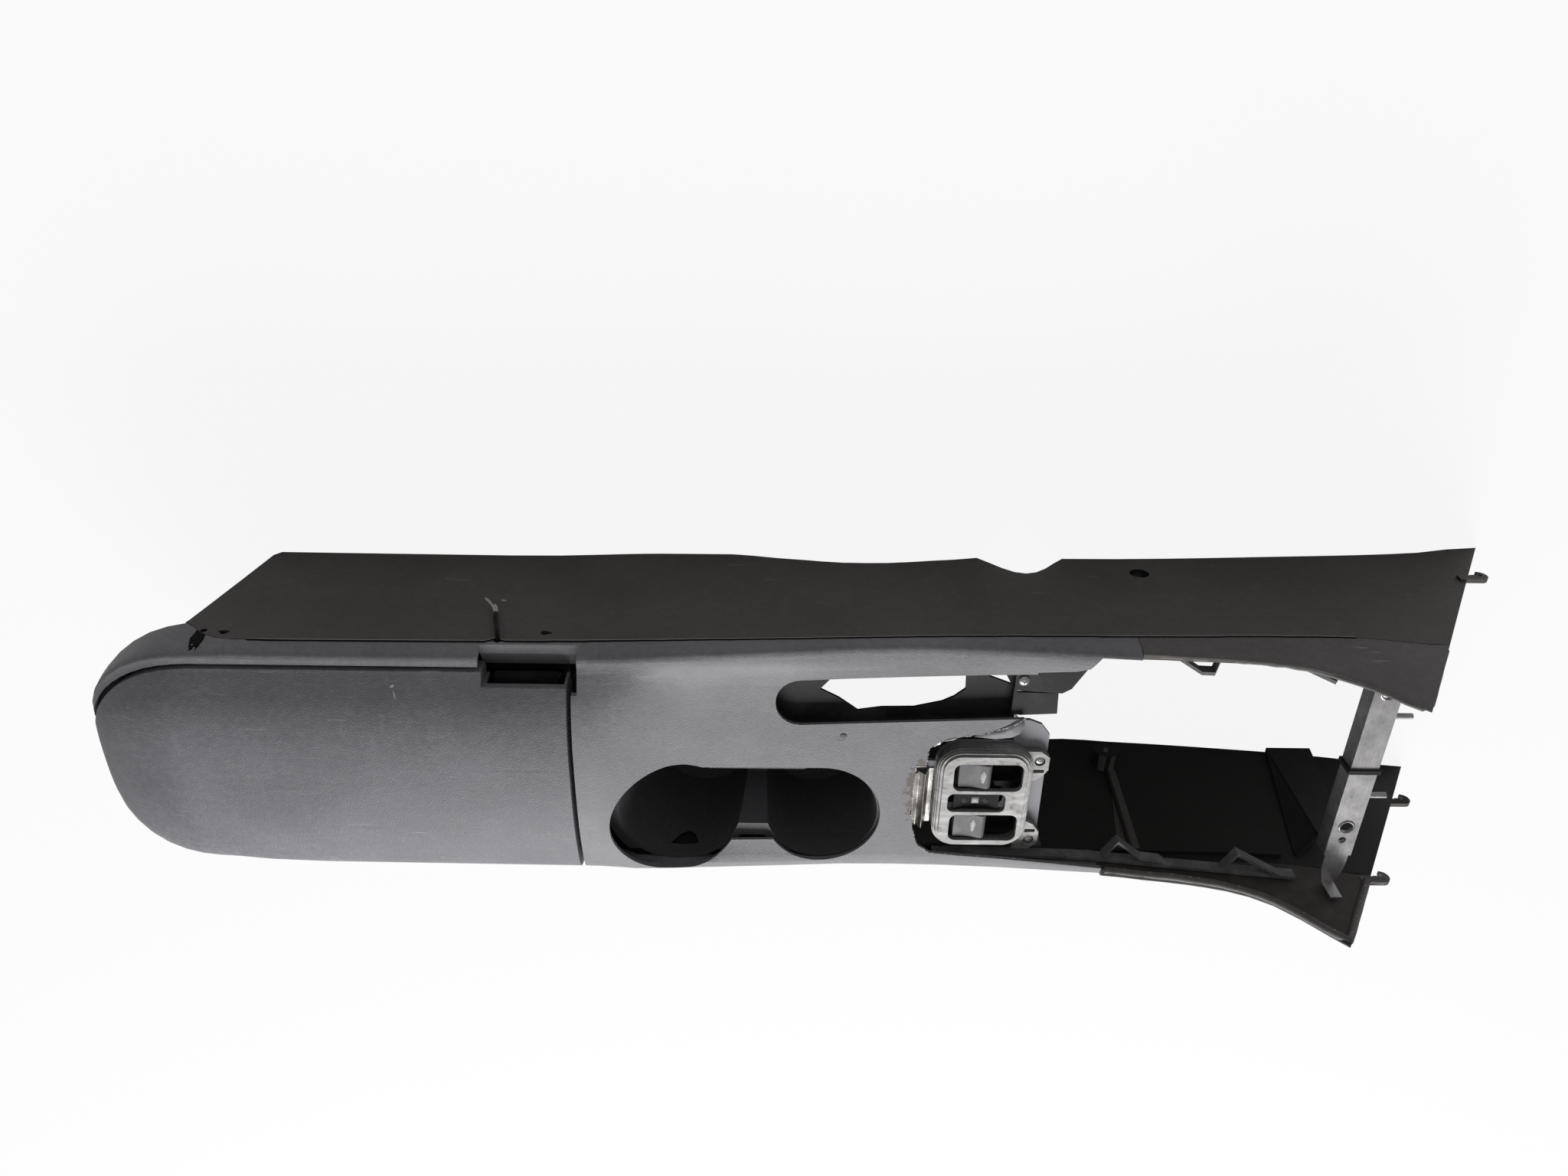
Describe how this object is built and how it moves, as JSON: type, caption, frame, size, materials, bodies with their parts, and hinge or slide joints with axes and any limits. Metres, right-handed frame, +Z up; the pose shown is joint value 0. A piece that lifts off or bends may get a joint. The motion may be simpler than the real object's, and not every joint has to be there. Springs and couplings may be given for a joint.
{
  "type": "car center console",
  "caption": "Car center console with a hinged armrest lid over a bin, joined cup wells, a brake lever slot, a window switch cluster and an open front with a steel cross bracket.",
  "frame": {"origin": "middle of the console's length and width, level with the lower edges of the side walls", "axes": "+X to the front of the car, +Y to the car's left, +Z up"},
  "size_m": [0.925, 0.1943, 0.1935],
  "materials": {
    "grained_grey_plastic": "fine leather grain, matte",
    "grained_lid_skin": "fine leather grain, matte",
    "dark_panel_plastic": "fine grain, matte",
    "flare_plastic": "fine grain, matte",
    "black_plastic": "plain moulded",
    "cup_plastic": "fine grain, matte",
    "rocker_plastic": "worn satin",
    "pale_grey_plastic": "plain moulded",
    "silver_paint": "worn silver lacquer",
    "plated_steel": "dull zinc plated",
    "buffer_rubber": "plain",
    "wire_jacket": "smooth"
  },
  "bodies": {
    "console": {"upper_trim": "grained_grey_plastic", "left_side_panel": "dark_panel_plastic", "right_side_panel": "dark_panel_plastic", "rear_panel": "dark_panel_plastic", "front_trim_left": "flare_plastic", "front_trim_right": "flare_plastic", "left_clip_rail": "black_plastic", "right_clip_rail": "black_plastic", "fixed_hinge_leaf": "plated_steel", "hinge_pin": "plated_steel", "storage_bin": "black_plastic", "lid_buffers": "buffer_rubber", "latch_striker": "plated_steel", "cup_insert": "cup_plastic", "brake_slot_liner": "cup_plastic", "liner_screw": "plated_steel", "switch_bezel": "silver_paint", "switch_body": "black_plastic", "switch_carrier": "pale_grey_plastic", "switch_screws": "plated_steel", "retaining_clip": "plated_steel", "front_bracket": "plated_steel", "bracket_plate": "plated_steel", "bracket_pins": "plated_steel", "bracket_tie": "black_plastic", "gusset_panel": "black_plastic", "lamp_lead": "wire_jacket"},
    "lid": {"armrest_lid": "grained_lid_skin", "lid_inner_panel": "black_plastic", "lid_hinge_leaf": "plated_steel", "latch_pin": "plated_steel"},
    "latch": {"latch_lever": "black_plastic"},
    "left_rocker": {"left_window_rocker": "rocker_plastic"},
    "right_rocker": {"right_window_rocker": "rocker_plastic"},
    "lock_rocker": {"window_lock_rocker": "black_plastic"}
  },
  "joints": [
    {"name": "lid_hinge", "type": "hinge", "parent": "console", "child": "lid", "pos_m": [-0.2645, -0.084, 0.1162], "axis": [1, 0, 0], "range_deg": [0, 95]},
    {"name": "latch_pivot", "type": "hinge", "parent": "lid", "child": "latch", "pos_m": [-0.181, 0.048, 0.1272], "axis": [1, 0, 0], "range_deg": [0, 16], "stiffness_Nm_per_rad": 0.4},
    {"name": "left_rocker_pivot", "type": "hinge", "parent": "console", "child": "left_rocker", "pos_m": [0.1019, -0.0128, 0.1155], "axis": [0, 1, 0], "range_deg": [-5, 5], "stiffness_Nm_per_rad": 0.5},
    {"name": "right_rocker_pivot", "type": "hinge", "parent": "console", "child": "right_rocker", "pos_m": [0.1019, -0.0542, 0.1155], "axis": [0, 1, 0], "range_deg": [-5, 5], "stiffness_Nm_per_rad": 0.5},
    {"name": "lock_rocker_pivot", "type": "hinge", "parent": "console", "child": "lock_rocker", "pos_m": [0.105, -0.0335, 0.1155], "axis": [0, 1, 0], "range_deg": [-4, 4]}
  ]
}
